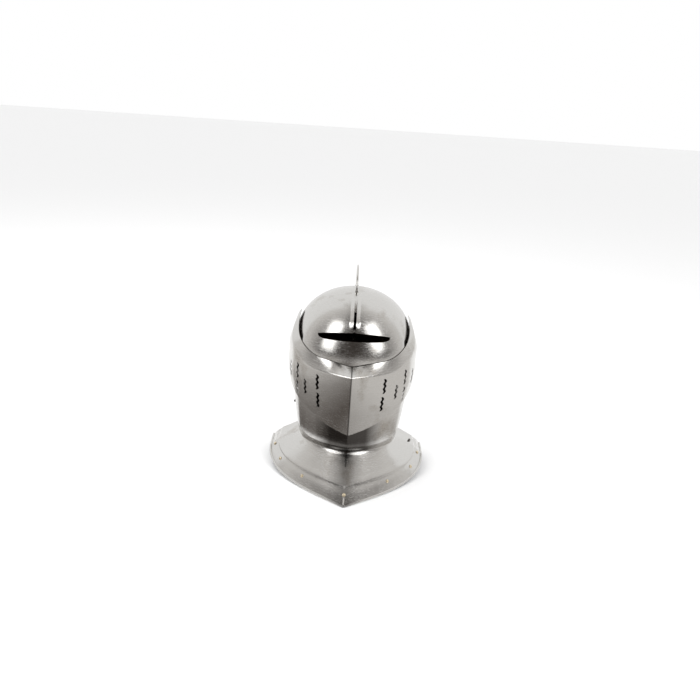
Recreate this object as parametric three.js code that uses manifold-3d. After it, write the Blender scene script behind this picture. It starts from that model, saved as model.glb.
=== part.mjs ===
// Close helmet of polished sheet steel, standing on its gorget. A skull with a tall comb carries a visor,
// a ventail with a ship's prow and a bevor on one pair of pivots at the temples.
// Millimetres, +Z up. The face looks along -Y, and the wearer's left is +X.

import * as THREE from 'three';
import { mergeVertices } from 'three/addons/utils/BufferGeometryUtils.js';
import Module from 'manifold-3d';

const wasm = await Module();
wasm.setup();

// Sheet and fits
const wall = 1.2;
const runningGap = 0.7;
const restGap = 0.35;

// Skull, a dome turned about the pivot axis, with a flat round each pivot
const pivotHeight = 213;
const skullRadius = 109;
const skullHalfWidth = 100;
const flatRadius = 22;
const skullBrowAngle = 50;
const skullTempleAngle = 8;
const skullHemLift = 12;
const napeDrop = 18;
const skullFrontEdge = 6;

// Comb, a thin blade on the middle of the skull
const combHeight = 38;
const combThickness = 3;
const combFrontAngle = 76;
const combPeakAngle = 109;
const combRearAngle = 190;

// Neck and cheeks
const collarHeight = 64;
const cheekTop = 190;
const cheekNarrowing = 15;

// Visor
const visorHemAngle = -6;
const visorTopAngle = 75;
const visorArmAngle = 19;
const visorArchSpan = 54.5;
const visorRidgeHeight = 4.5;
const sightAngle = 27;
const sightHalfLength = 59;
const sightRise = 6;
const sightDrop = 8;
const sightNotchHalfWidth = 4;
const sightNotchRise = 1.6;
const combSlotWidth = 4.4;
const combSlotEndAngle = 33;
const combNotchHalfWidth = 7.5;
const combNotchAngle = 57;

// Ventail
const ventailHalfWidth = 109.5;
const ventailStandOff = 4;
const prowDepth = 26;
const prowTopHeight = 208;
const prowBottomHeight = 104;
const hornRise = 64;
const hornStart = 107;
const hornReach = 8;
const ventailHemSlope = 0.58;
const shelfInset = 0.13;
const shelfGap = 1.5;
const shelfLift = 4;
const shelfSideLift = 10;

// Breaths, upright slots with scalloped edges
const breathLength = 27;
const breathNarrow = 0.9;
const breathWide = 2.8;
const breathScallops = 3;

// Bevor
const bevorTopHeight = 188;
const bevorArmRise = 23;
const bevorRearEdge = 14;
const bevorHemLift = 8;

// Gorget
const gorgetHalfWidth = 136;
const gorgetRound = 120;
const gorgetPoint = 60;
const gorgetBack = 146;
const gorgetSideRise = 24;
const gorgetSeam = 0.8;
const rimBeadRadius = 2.5;

// Pivots, rivets and studs
const pivotShankRadius = 3.4;
const pivotHoleRadius = 4.2;
const pivotEarRadius = 18;
const pivotHeadRadius = 7;
const pivotHeadHeight = 2;
const rivetRadius = 3;
const rivetHeight = 2;
const studRadius = 2.4;
const studLength = 6;

// What follows from those sizes
const stackStep = wall + runningGap;
const bevorHalfWidth = skullHalfWidth + stackStep;
const visorHalfWidth = bevorHalfWidth + stackStep;
const visorRadius = skullRadius + stackStep;
const ventailRound = skullRadius + ventailStandOff;
const bevorArmTop = pivotHeight + bevorArmRise;
const neckHalfWidth = skullHalfWidth - cheekNarrowing;

// Straight length of cheek that one whole column stands for, behind the round front
const columnLength = 100;

const deg = THREE.MathUtils.degToRad;
const lerp = THREE.MathUtils.lerp;
const clamp = THREE.MathUtils.clamp;
const vec = (x, y, z) => new THREE.Vector3(x, y, z);

const steel = { color: 0xb9b8b5, roughness: 0.26, metalness: 1 };
const darkSteel = { color: 0x55524e, roughness: 0.45, metalness: 1 };
const brass = { color: 0xc2a56b, roughness: 0.35, metalness: 1 };

function solidOf(geometry) {
  const bare = geometry.clone();
  bare.deleteAttribute('normal');
  bare.deleteAttribute('uv');
  const merged = mergeVertices(bare, 1e-4);
  return new wasm.Manifold(new wasm.Mesh({
    numProp: 3,
    vertProperties: new Float32Array(merged.attributes.position.array),
    triVerts: new Uint32Array(merged.index.array),
  }));
}

function meshOf(name, solid, finish) {
  const { vertProperties, triVerts, numProp } = solid.getMesh();
  const places = new Float32Array((vertProperties.length / numProp) * 3);
  for (let v = 0; v < places.length / 3; v++) {
    for (let axis = 0; axis < 3; axis++) places[3 * v + axis] = vertProperties[numProp * v + axis];
  }
  const geometry = new THREE.BufferGeometry();
  geometry.setAttribute('position', new THREE.BufferAttribute(places, 3));
  geometry.setIndex(new THREE.BufferAttribute(new Uint32Array(triVerts), 1));
  geometry.computeVertexNormals();
  const mesh = new THREE.Mesh(geometry, new THREE.MeshStandardMaterial(finish));
  mesh.name = name;
  return mesh;
}

// A table of rows [share, value, value ...] read at any share, straight between the rows
function readTable(table, share) {
  const last = table.length - 1;
  let row = 0;
  while (row < last - 1 && share > table[row + 1][0]) row++;
  const [low, high] = [table[row], table[row + 1]];
  const part = clamp((share - low[0]) / (high[0] - low[0]), 0, 1);
  return low.slice(1).map((value, column) => lerp(value, high[column + 1], part));
}

// A sheet of even thickness under a grid of outer points, closed along its four edges
function sheet(rows) {
  const across = rows[0].length;
  const up = rows.length;
  const outer = rows.flat();
  const inner = [];
  for (let j = 0; j < up; j++) {
    for (let i = 0; i < across; i++) {
      const along = rows[j][Math.min(i + 1, across - 1)].clone().sub(rows[j][Math.max(i - 1, 0)]);
      const rise = rows[Math.min(j + 1, up - 1)][i].clone().sub(rows[Math.max(j - 1, 0)][i]);
      inner.push(rows[j][i].clone().addScaledVector(along.cross(rise).normalize(), -wall));
    }
  }
  const o = (i, j) => j * across + i;
  const n = (i, j) => outer.length + j * across + i;
  const faces = [];
  const quad = (a, b, c, d) => faces.push(a, b, c, a, c, d);
  for (let j = 0; j < up - 1; j++) {
    for (let i = 0; i < across - 1; i++) {
      quad(o(i, j), o(i + 1, j), o(i + 1, j + 1), o(i, j + 1));
      quad(n(i, j), n(i, j + 1), n(i + 1, j + 1), n(i + 1, j));
    }
  }
  for (let i = 0; i < across - 1; i++) {
    quad(o(i + 1, 0), o(i, 0), n(i, 0), n(i + 1, 0));
    quad(o(i, up - 1), o(i + 1, up - 1), n(i + 1, up - 1), n(i, up - 1));
  }
  for (let j = 0; j < up - 1; j++) {
    quad(o(0, j), o(0, j + 1), n(0, j + 1), n(0, j));
    quad(o(across - 1, j + 1), o(across - 1, j), n(across - 1, j), n(across - 1, j + 1));
  }
  const geometry = new THREE.BufferGeometry();
  geometry.setAttribute('position', new THREE.Float32BufferAttribute(
    [...outer, ...inner].flatMap((point) => point.toArray()), 3));
  geometry.setIndex(faces);
  return solidOf(geometry);
}

// A closed rod with round section along a line of points
function bead(points, radius, sides = 6) {
  const rings = points.map((point, i) => {
    const along = points[Math.min(i + 1, points.length - 1)].clone().sub(points[Math.max(i - 1, 0)]);
    const side = along.clone().cross(vec(0, 0, 1)).normalize();
    const up = side.clone().cross(along).normalize();
    return Array.from({ length: sides }, (_, k) => {
      const turn = (2 * Math.PI * k) / sides;
      return point.clone()
        .addScaledVector(side, radius * Math.cos(turn))
        .addScaledVector(up, radius * Math.sin(turn));
    });
  });
  const faces = [];
  const at = (i, k) => i * sides + (k % sides);
  for (let i = 0; i < rings.length - 1; i++) {
    for (let k = 0; k < sides; k++) {
      faces.push(at(i, k), at(i, k + 1), at(i + 1, k + 1), at(i, k), at(i + 1, k + 1), at(i + 1, k));
    }
  }
  const end = rings.length - 1;
  for (let k = 1; k < sides - 1; k++) {
    faces.push(at(0, 0), at(0, k + 1), at(0, k));
    faces.push(at(end, 0), at(end, k), at(end, k + 1));
  }
  const geometry = new THREE.BufferGeometry();
  geometry.setAttribute('position', new THREE.Float32BufferAttribute(
    rings.flat().flatMap((point) => point.toArray()), 3));
  geometry.setIndex(faces);
  const volumeSign = Math.sign(signedVolume(geometry));
  if (volumeSign < 0) geometry.setIndex(faces.reverse());
  return solidOf(geometry);
}

function signedVolume(geometry) {
  const place = geometry.attributes.position;
  const order = geometry.index.array;
  const [a, b, c] = [vec(), vec(), vec()];
  let six = 0;
  for (let f = 0; f < order.length; f += 3) {
    a.fromBufferAttribute(place, order[f]);
    b.fromBufferAttribute(place, order[f + 1]);
    c.fromBufferAttribute(place, order[f + 2]);
    six += a.dot(b.cross(c));
  }
  return six / 6;
}

// A plate of outline `points`, from `near` to `far` along the third axis of `basis`
function prism(points, near, far, basis) {
  const shape = new THREE.Shape(points.map(([x, y]) => new THREE.Vector2(x, y)));
  const geometry = new THREE.ExtrudeGeometry(shape, { depth: far - near, bevelEnabled: false });
  geometry.translate(0, 0, near);
  geometry.applyMatrix4(basis);
  return solidOf(geometry);
}

function discOnSide(side, radius, near, far, sides = 24) {
  const geometry = new THREE.CylinderGeometry(radius, radius, far - near, sides);
  geometry.rotateZ(Math.PI / 2);
  geometry.translate(side * (near + far) / 2, 0, pivotHeight);
  return solidOf(geometry);
}

// Axes at an angle round the pivot line: X, the way the angle grows, and straight out
function radialBasis(angle) {
  return new THREE.Matrix4().makeBasis(
    vec(1, 0, 0),
    vec(0, Math.sin(deg(angle)), Math.cos(deg(angle))),
    vec(0, -Math.cos(deg(angle)), Math.sin(deg(angle))),
  ).setPosition(0, 0, pivotHeight);
}

const sideways = new THREE.Matrix4().makeBasis(vec(0, 1, 0), vec(0, 0, 1), vec(1, 0, 0));

// Skull and visor are turned about the pivot line: these angles from the middle plane are their columns,
// and the last two columns lie on the flat beside the pivot.
const luneAngles = [0, 4.5, 9, 18, 28, 38, 46, 51.5, 54.5, 60, 68, 78, 90];
const luneColumns = [
  ...luneAngles.slice(1).reverse().map((angle) => -angle), ...luneAngles,
];
const earStart = 8;

function lunePoint(column, angle, radius, halfWidth, onFlat = false) {
  const round = onFlat ? earStart : flatRadius + (radius - flatRadius) * Math.cos(deg(column));
  return vec(
    halfWidth * Math.sin(deg(column)),
    -round * Math.cos(deg(angle)),
    pivotHeight + round * Math.sin(deg(angle)),
  );
}

function luneRow(angleAt, radiusAt, halfWidth) {
  const ends = luneColumns.map((column) => lunePoint(column, angleAt(column), radiusAt(column), halfWidth));
  const first = lunePoint(-90, angleAt(-90), 0, halfWidth, true);
  const last = lunePoint(90, angleAt(90), 0, halfWidth, true);
  return [first, ...ends, last];
}

function ear(side, halfWidth) {
  return discOnSide(side, pivotEarRadius, halfWidth - wall, halfWidth)
    .subtract(discOnSide(side, pivotHoleRadius, halfWidth - 3 * wall, halfWidth + wall, 16));
}

// How much the cheeks and neck draw in below the pivots
function narrowing(z) {
  const share = clamp((cheekTop - z) / (cheekTop - collarHeight), 0, 1);
  return cheekNarrowing * share ** 1.4;
}

// Rear of the neck: share of the pivot height, share of the skull's radius
const nape = [
  [0.30, 0.82],
  [0.40, 0.81],
  [0.52, 0.86],
  [0.70, 0.95],
  [0.88, 0.995],
  [1.00, 1.00],
];

function skullNeckPoint(column, z, onFlat) {
  const [depth] = readTable(nape, z / pivotHeight);
  const halfWidth = skullHalfWidth - narrowing(z);
  const back = flatRadius + (depth * skullRadius - flatRadius) * Math.cos(deg(column));
  return vec(halfWidth * Math.sin(deg(column)), onFlat ? -skullFrontEdge : back, z);
}

function skull() {
  const browAt = (column) => {
    const share = clamp((Math.abs(column) - 38) / 18, 0, 1);
    return lerp(skullBrowAngle, skullTempleAngle, share * share * (3 - 2 * share));
  };
  const rows = [];
  const domeRows = 13;
  for (let j = 0; j <= domeRows; j++) {
    rows.push(luneRow((column) => lerp(browAt(column), 180, j / domeRows), () => skullRadius, skullHalfWidth));
  }
  const neckRows = 6;
  for (let j = 1; j <= neckRows; j++) {
    const heightAt = (column) => {
      const hem = collarHeight + skullHemLift - napeDrop * Math.cos(deg(column));
      return lerp(pivotHeight, hem, j / neckRows);
    };
    const row = luneColumns.map((column) => skullNeckPoint(column, heightAt(column), false));
    rows.push([skullNeckPoint(-90, heightAt(90), true), ...row, skullNeckPoint(90, heightAt(90), true)]);
  }
  let solid = sheet(rows);
  for (const side of [-1, 1]) solid = solid.add(ear(side, skullHalfWidth));

  const span = combRearAngle - combFrontAngle;
  const power = Math.log(0.5) / Math.log((combPeakAngle - combFrontAngle) / span);
  const steps = 16;
  const crest = [];
  for (let k = 0; k <= steps; k++) {
    const share = k / steps;
    const angle = deg(combFrontAngle + span * share);
    const height = combHeight * Math.sin(Math.PI * share ** power);
    const radius = skullRadius + Math.max(height, 0);
    crest.push([-radius * Math.cos(angle), pivotHeight + radius * Math.sin(angle)]);
  }
  const root = [];
  for (let k = steps; k >= 0; k--) {
    const angle = deg(combFrontAngle + (span * k) / steps);
    const radius = skullRadius - wall / 2;
    root.push([-radius * Math.cos(angle), pivotHeight + radius * Math.sin(angle)]);
  }
  const blade = prism([...crest, ...root], -combThickness / 2, combThickness / 2, sideways);
  return solid.add(blade);
}

function visor() {
  const topAt = (column) => {
    const share = Math.min(Math.abs(column) / visorArchSpan, 1);
    return lerp(visorArmAngle, visorTopAngle, Math.sqrt(1 - share * share));
  };
  const rowCount = 10;
  const rows = [];
  for (let j = 0; j <= rowCount; j++) {
    const angleAt = (column) => lerp(visorHemAngle, topAt(column), j / rowCount);
    const radiusAt = (column) => {
      const rise = clamp((angleAt(column) - sightAngle - 4) / 12, 0, 1);
      return visorRadius + (column === 0 ? visorRidgeHeight * rise : 0);
    };
    rows.push(luneRow(angleAt, radiusAt, visorHalfWidth));
  }
  let solid = sheet(rows);
  for (const side of [-1, 1]) solid = solid.add(ear(side, visorHalfWidth));

  const reach = visorRadius + 25;
  const sight = [[-sightHalfLength, sightRise]];
  const arcSteps = 12;
  for (let k = 1; k < arcSteps; k++) {
    const turn = (Math.PI * k) / arcSteps;
    sight.push([-sightHalfLength * Math.cos(turn), sightRise - (sightRise + sightDrop) * Math.sin(turn) ** 0.7]);
  }
  sight.push([sightHalfLength, sightRise]);
  sight.push([sightNotchHalfWidth, sightRise]);
  sight.push([0, sightRise + sightNotchRise]);
  sight.push([-sightNotchHalfWidth, sightRise]);
  solid = solid.subtract(prism(sight, flatRadius, reach, radialBasis(sightAngle)));

  const slot = [];
  for (const angle of [combSlotEndAngle, visorTopAngle + 12]) {
    for (const radius of [skullRadius - 15, reach]) {
      slot.push([-radius * Math.cos(deg(angle)), pivotHeight + radius * Math.sin(deg(angle))]);
    }
  }
  const slotOutline = [slot[0], slot[1], slot[3], slot[2]];
  solid = solid.subtract(prism(slotOutline, -combSlotWidth / 2, combSlotWidth / 2, sideways));

  const notchMiddle = (combNotchAngle + visorTopAngle) / 2;
  const notchHalf = visorRadius * Math.tan(deg(visorTopAngle - notchMiddle));
  const notch = [
    [0, -notchHalf],
    [combNotchHalfWidth, notchHalf],
    [combNotchHalfWidth, 2 * notchHalf],
    [-combNotchHalfWidth, 2 * notchHalf],
    [-combNotchHalfWidth, notchHalf],
  ];
  return solid.subtract(prism(notch, skullRadius - 20, reach, radialBasis(notchMiddle)));
}

// Columns of a front plate, -1 to 1 round the front and then straight back along the flat cheek
function frontColumns(steps, rearEdge, straightSteps) {
  const half = [];
  for (let k = 0; k <= steps; k++) half.push(k / steps);
  for (let k = 1; k <= straightSteps; k++) {
    half.push(1 + ((rearEdge + flatRadius) * k) / (straightSteps * columnLength));
  }
  return [...half.slice(1).reverse().map((share) => -share), ...half];
}

// One point of a level section with round front, pointed prow and straight cheeks
function frontPoint(column, halfWidth, round, point, z) {
  const share = Math.abs(column);
  const side = Math.sign(column);
  if (share > 1) return vec(side * halfWidth, (share - 1) * columnLength - flatRadius, z);
  const turn = (Math.PI / 2) * share;
  const forward = flatRadius + (round - flatRadius) * Math.cos(turn) + point * (1 - share) ** 2.5;
  return vec(side * halfWidth * Math.sin(turn), -forward, z);
}

// Ventail: share of the pivot height, share of the half width, of the round and of the prow
const ventailSections = [
  [0.46, 0.875, 0.985, 0.70],
  [0.59, 0.905, 0.99, 0.78],
  [0.70, 0.948, 0.995, 0.87],
  [0.87, 1.00, 1.00, 0.96],
  [1.00, 1.00, 1.00, 1.00],
  [1.09, 1.00, 1.00, 1.00],
  [1.20, 0.94, 1.00, 1.00],
  [1.285, 0.88, 1.00, 1.00],
];

function ventailPoint(column, z) {
  const [width, round, point] = readTable(ventailSections, z / pivotHeight);
  return frontPoint(column, width * ventailHalfWidth, round * ventailRound, point * prowDepth, z);
}

function ventailEdges(column) {
  const nominal = ventailPoint(column, prowTopHeight).y;
  const share = clamp((nominal + hornStart) / (hornStart + hornReach), 0, 1);
  const front = ventailPoint(0, prowTopHeight).y;
  return {
    top: prowTopHeight + hornRise * share * share * (3 - 2 * share),
    bottom: prowBottomHeight + ventailHemSlope * (nominal - front),
    back: clamp((nominal - front) / (hornReach - front), 0, 1),
  };
}

// Inner edge of the shelf above the prow, which lies on the visor with a running gap
function shelfPoint(column) {
  const { top, back } = ventailEdges(column);
  const ridge = ventailPoint(column, top);
  const x = ridge.x * (1 - shelfInset + 0.7 * shelfInset * back * back);
  const cosine = Math.sqrt(1 - (x / visorHalfWidth) ** 2);
  const radius = flatRadius + (visorRadius - flatRadius) * cosine + shelfGap + wall;
  const lift = shelfLift * (1 - back) + 4 * shelfSideLift * back * (1 - back);
  const angle = Math.atan2(ridge.z - pivotHeight, -ridge.y) + deg(lift);
  return vec(x, -radius * Math.cos(angle), pivotHeight + radius * Math.sin(angle));
}

// Breaths: column share round the front, middle height as a share of the pivot height
const breaths = [
  [0.335, 0.875],
  [0.335, 0.725],
  [0.495, 0.80],
  [0.61, 0.905],
  [0.635, 0.758],
  [0.775, 0.885],
];

function breathOutline() {
  const points = [];
  const teeth = 2 * breathScallops;
  for (let k = 0; k <= teeth; k++) {
    const width = k % 2 ? breathWide : breathNarrow;
    points.push([width, breathLength * (k / teeth - 0.5)]);
  }
  for (let k = teeth; k >= 0; k--) {
    const width = k % 2 ? breathNarrow : breathWide;
    points.push([-width, breathLength * (k / teeth - 0.5)]);
  }
  return points;
}

function ventail() {
  const columns = frontColumns(11, hornReach, 3);
  const wallRows = 6;
  const rows = [];
  for (let j = 0; j <= wallRows; j++) {
    rows.push(columns.map((column) => {
      const { top, bottom } = ventailEdges(column);
      return ventailPoint(column, lerp(bottom, top, j / wallRows));
    }));
  }
  const ridge = rows[wallRows];
  rows.push(columns.map((column, i) => ridge[i].clone().lerp(shelfPoint(column), 0.5)));
  rows.push(columns.map((column) => shelfPoint(column)));
  let solid = sheet(rows);
  for (const side of [-1, 1]) {
    solid = solid.subtract(
      discOnSide(side, pivotHoleRadius, visorHalfWidth + wall, ventailHalfWidth + 3 * wall, 16));
    for (const [share, height] of breaths) {
      const z = height * pivotHeight;
      const point = ventailPoint(side * share, z);
      const along = ventailPoint(side * (share + 0.02), z).sub(ventailPoint(side * (share - 0.02), z));
      const out = along.normalize().cross(vec(0, 0, side)).negate();
      if (out.dot(vec(point.x, point.y, 0)) < 0) out.negate();
      const basis = new THREE.Matrix4().makeBasis(
        vec(0, 0, 1).cross(out), vec(0, 0, 1), out).setPosition(point);
      solid = solid.subtract(prism(breathOutline(), -4 * wall, 4 * wall, basis));
    }
  }
  return solid;
}

// Bevor: share of the pivot height, share of the skull's radius and of the prow
const bevorSections = [
  [0.30, 0.91, 0.34],
  [0.36, 0.955, 0.60],
  [0.48, 0.965, 0.64],
  [0.70, 0.965, 0.52],
  [0.88, 0.95, 0.28],
  [1.12, 0.90, 0.00],
];

function bevorPoint(column, z) {
  const [round, point] = readTable(bevorSections, z / pivotHeight);
  return frontPoint(column, bevorHalfWidth - narrowing(z), round * skullRadius, point * prowDepth, z);
}

function bevor() {
  const columns = frontColumns(11, bevorRearEdge, 2);
  const edges = (column) => {
    const rear = clamp((Math.abs(column) - 0.8) / 0.2, 0, 1);
    const arm = clamp((Math.abs(column) - 1) / 0.1, 0, 1);
    return [collarHeight + bevorHemLift * rear, lerp(bevorTopHeight, bevorArmTop, arm)];
  };
  const chin = [0, 0.1, 0.26, 0.43, 0.6, 0.76, 0.89, 1];
  const rows = chin.map((share) => columns.map((column) => {
    const [low, high] = edges(column);
    return bevorPoint(column, lerp(low, high, share));
  }));
  let solid = sheet(rows);
  for (const side of [-1, 1]) {
    solid = solid.subtract(
      discOnSide(side, pivotHoleRadius, skullHalfWidth, bevorHalfWidth + 2 * wall, 16));
  }
  return solid;
}

// Gorget: share of the way out from neck to rim, share of the way down, from rim to collar top
const gorgetSections = [
  [1.00, 1.00],
  [0.87, 0.79],
  [0.745, 0.665],
  [0.70, 0.595],
  [0.54, 0.475],
  [0.38, 0.355],
  [0.24, 0.25],
  [0.12, 0.155],
  [0.03, 0.07],
  [0.00, -0.02],
  [0.00, -0.13],
];

function gorgetFrontPoint(column, out, down) {
  const rear = clamp(Math.abs(column), 0, 1) ** 3;
  const rim = rimBeadRadius + gorgetSideRise * rear;
  const round = lerp(0.885 * skullRadius, gorgetRound, out);
  const point = lerp(0.30 * prowDepth, gorgetPoint, out);
  const z = lerp(collarHeight, rim, down);
  return frontPoint(column, lerp(neckHalfWidth, gorgetHalfWidth, out), round, point, z);
}

function gorgetRearPoint(column, out, down) {
  const share = Math.abs(column);
  const side = Math.sign(column);
  const rim = rimBeadRadius + gorgetSideRise * Math.min(share, 1) ** 8;
  const collar = neckHalfWidth - stackStep;
  const halfWidth = lerp(collar, gorgetHalfWidth, out);
  const depth = lerp(0.82 * skullRadius - stackStep, gorgetBack, out);
  const turn = (Math.PI / 2) * Math.min(share, 1);
  const z = lerp(collarHeight - napeDrop * Math.cos(turn), rim, down);
  if (share > 1) return vec(side * halfWidth, flatRadius - (share - 1) * columnLength, z);
  return vec(side * halfWidth * Math.sin(turn), flatRadius + (depth - flatRadius) * Math.cos(turn), z);
}

function gorgetFront() {
  const columns = frontColumns(11, 0, 1);
  const rows = gorgetSections.map(([out, down]) => columns.map((c) => gorgetFrontPoint(c, out, down)));
  return sheet(rows).add(bead(columns.map((c) => gorgetFrontPoint(c, 1, 1)), rimBeadRadius));
}

function gorgetRear() {
  const half = frontColumns(9, -gorgetSeam, 1);
  const sections = gorgetSections.filter((_, row) => row !== 4 && row !== 6).reverse();
  const rows = sections.map(([out, down]) => half.map((c) => gorgetRearPoint(c, out, down)));
  return sheet(rows).add(bead(half.map((c) => gorgetRearPoint(c, 1, 1)), rimBeadRadius));
}

// A round head with a short shank, standing on the point along the way out
function headOn(point, out, radius, height, lift, sides = 8) {
  const rings = 2;
  const profile = [new THREE.Vector2(0, 0), new THREE.Vector2(radius, 0)];
  for (let k = 1; k < rings; k++) {
    const turn = (Math.PI / 2) * (k / rings);
    profile.push(new THREE.Vector2(radius * Math.cos(turn), height * Math.sin(turn)));
  }
  profile.push(new THREE.Vector2(0, height));
  const geometry = new THREE.LatheGeometry(profile, sides);
  geometry.applyQuaternion(new THREE.Quaternion().setFromUnitVectors(vec(0, 1, 0), out));
  const base = point.clone().addScaledVector(out, lift);
  geometry.translate(base.x, base.y, base.z);
  return solidOf(geometry);
}

function pivot(side) {
  const headBase = ventailHalfWidth + restGap;
  const inner = skullHalfWidth - wall - restGap - 2;
  const head = headOn(vec(side * headBase, 0, pivotHeight), vec(side, 0, 0), pivotHeadRadius,
    pivotHeadHeight, 0, 14);
  const shank = discOnSide(side, pivotShankRadius, inner, headBase + pivotHeadHeight / 2, 12);
  const washer = discOnSide(side, pivotHeadRadius, inner, inner + 2, 14);
  const collar = discOnSide(side, pivotHeadRadius, visorHalfWidth + restGap,
    ventailHalfWidth - wall - restGap, 14);
  return head.add(shank).add(washer).add(collar);
}

// Outward direction of a plate at one of its points, from two short steps along it
function outwardAt(pointAt, column, out, down) {
  const along = pointAt(column + 0.01, out, down).sub(pointAt(column - 0.01, out, down));
  const inwards = pointAt(column, out - 0.02, down - 0.03).sub(pointAt(column, out, down));
  const normal = along.cross(inwards).normalize();
  return normal.z < 0 ? normal.negate() : normal;
}

const group = new THREE.Group();
group.add(meshOf('skull', skull(), steel));
group.add(meshOf('visor', visor(), steel));
group.add(meshOf('ventail', ventail(), steel));
group.add(meshOf('bevor', bevor(), steel));
group.add(meshOf('gorget_front', gorgetFront(), steel));
group.add(meshOf('gorget_rear', gorgetRear(), steel));
group.add(meshOf('pivot_right', pivot(-1), steel));
group.add(meshOf('pivot_left', pivot(1), steel));

const rimBand = [0.85, 0.77];
const frontRivets = [-0.95, -0.70, -0.38, 0, 0.38, 0.70, 0.95];
frontRivets.forEach((column, index) => {
  const point = gorgetFrontPoint(column, ...rimBand);
  const out = outwardAt(gorgetFrontPoint, column || 1e-4, ...rimBand);
  if (column === 0) out.setX(0).normalize();
  const rivet = headOn(point, out, rivetRadius, rivetHeight, restGap + 0.25);
  group.add(meshOf(`gorget_rivet_${index + 1}`, rivet, brass));
});

const rearRivets = [-0.8, -0.4, 0, 0.4, 0.8];
rearRivets.forEach((column, index) => {
  const point = gorgetRearPoint(column, ...rimBand);
  const out = outwardAt(gorgetRearPoint, column || 1e-4, ...rimBand);
  const rivet = headOn(point, out, rivetRadius, rivetHeight, restGap + 0.1);
  group.add(meshOf(`rear_rivet_${index + 1}`, rivet, brass));
});

const latchPoint = bevorPoint(-1.2, 0.5 * pivotHeight);
group.add(meshOf('latch_stud', headOn(latchPoint, vec(-1, 0, 0), studRadius, studLength, restGap), darkSteel));

const seamPoint = gorgetFrontPoint(1.13, 0.55, 0.48);
const seamOut = outwardAt(gorgetFrontPoint, 1.13, 0.55, 0.48);
group.add(meshOf('seam_stud', headOn(seamPoint, seamOut, studRadius, studLength / 2, 2 * restGap), darkSteel));

// The object stands on its rim, with the middle of its outer box over the origin
const box = new THREE.Box3().setFromObject(group, true);
group.position.set(0, -(box.min.y + box.max.y) / 2, -box.min.z);
group.updateMatrixWorld(true);

export default group;
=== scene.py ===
# Close helmet of polished steel, dressed over the CAD part.
# Metres, +Z up, the face looks along -Y and the wearer's left is +X.
from math import atan2, cos, log, pi, radians, sin, sqrt

import bmesh
import bpy
from mathutils import Matrix, Vector


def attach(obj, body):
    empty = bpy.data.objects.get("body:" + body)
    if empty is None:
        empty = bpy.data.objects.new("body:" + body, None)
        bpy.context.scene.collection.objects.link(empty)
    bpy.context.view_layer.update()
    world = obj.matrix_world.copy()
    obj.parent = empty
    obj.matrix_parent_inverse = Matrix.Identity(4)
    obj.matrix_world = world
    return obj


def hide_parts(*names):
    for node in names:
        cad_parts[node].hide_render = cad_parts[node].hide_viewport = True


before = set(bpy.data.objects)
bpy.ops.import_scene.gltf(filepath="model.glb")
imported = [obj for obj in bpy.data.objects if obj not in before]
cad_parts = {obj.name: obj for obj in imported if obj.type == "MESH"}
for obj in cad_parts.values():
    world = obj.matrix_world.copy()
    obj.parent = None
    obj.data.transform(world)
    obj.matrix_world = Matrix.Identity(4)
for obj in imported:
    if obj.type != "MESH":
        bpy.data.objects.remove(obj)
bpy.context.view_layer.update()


# Skull, the bowl of the helmet. Two halves of hammered sheet steel, joined under the comb and polished
# outside, drawn in at the nape and left dark from the forge inside. A flat round each temple takes the
# pivot bolt.
pivot = Vector((0, 0.017, 0.212665))
plate_thickness = 0.0012
skull_radius = 0.109
skull_half_width = 0.100
flat_radius = 0.022
bolt_hole_radius = 0.0042
brow_angle = 50
temple_angle = 8
collar_drop = 0.149
nape_drop = 0.018
hem_lift = 0.012
profile_height = 0.213
dome_share = 0.62
flat_start = 0.93
brow_edge_column = 38
brow_edge_span = 18
cheek_narrowing = 0.015
nape_shape = [(0.30, 0.82), (0.40, 0.81), (0.52, 0.86), (0.70, 0.95), (0.88, 0.995), (1.0, 1.0)]


def mix(a, b, share):
    return a + (b - a) * share


def limit(value, least=0.0, most=1.0):
    return max(least, min(most, value))


def ease(share):
    share = limit(share)
    return share * share * (3 - 2 * share)


def along(table, place):
    """Smooth curve through the rows of a table, each (place, value, value ...)."""
    last = len(table) - 1
    place = limit(place, table[0][0], table[last][0])
    row = 0
    while row < last - 1 and place > table[row + 1][0]:
        row += 1
    here, there = table[row], table[row + 1]
    before, after = table[max(row - 1, 0)], table[min(row + 2, last)]
    step = there[0] - here[0]
    t = (place - here[0]) / step
    found = []
    for k in range(1, len(here)):
        start = (there[k] - before[k]) / (there[0] - before[0]) * step
        end = (after[k] - here[k]) / (after[0] - here[0]) * step
        found.append(
            (2 * t**3 - 3 * t**2 + 1) * here[k] + (t**3 - 2 * t**2 + t) * start
            + (3 * t**2 - 2 * t**3) * there[k] + (t**3 - t**2) * end)
    return found


def grid_object(name, across, up, place):
    """A smooth surface: a grid whose points place(u, v) puts, with u and v from 0 to 1."""
    shape = bmesh.new()
    bmesh.ops.create_grid(shape, x_segments=across, y_segments=up, size=1)
    for vert in shape.verts:
        vert.co = place((vert.co.x + 1) / 2, (vert.co.y + 1) / 2)
    mesh = bpy.data.meshes.new(name)
    shape.to_mesh(mesh)
    shape.free()
    made = bpy.data.objects.new(name, mesh)
    bpy.context.scene.collection.objects.link(made)
    return made


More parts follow.
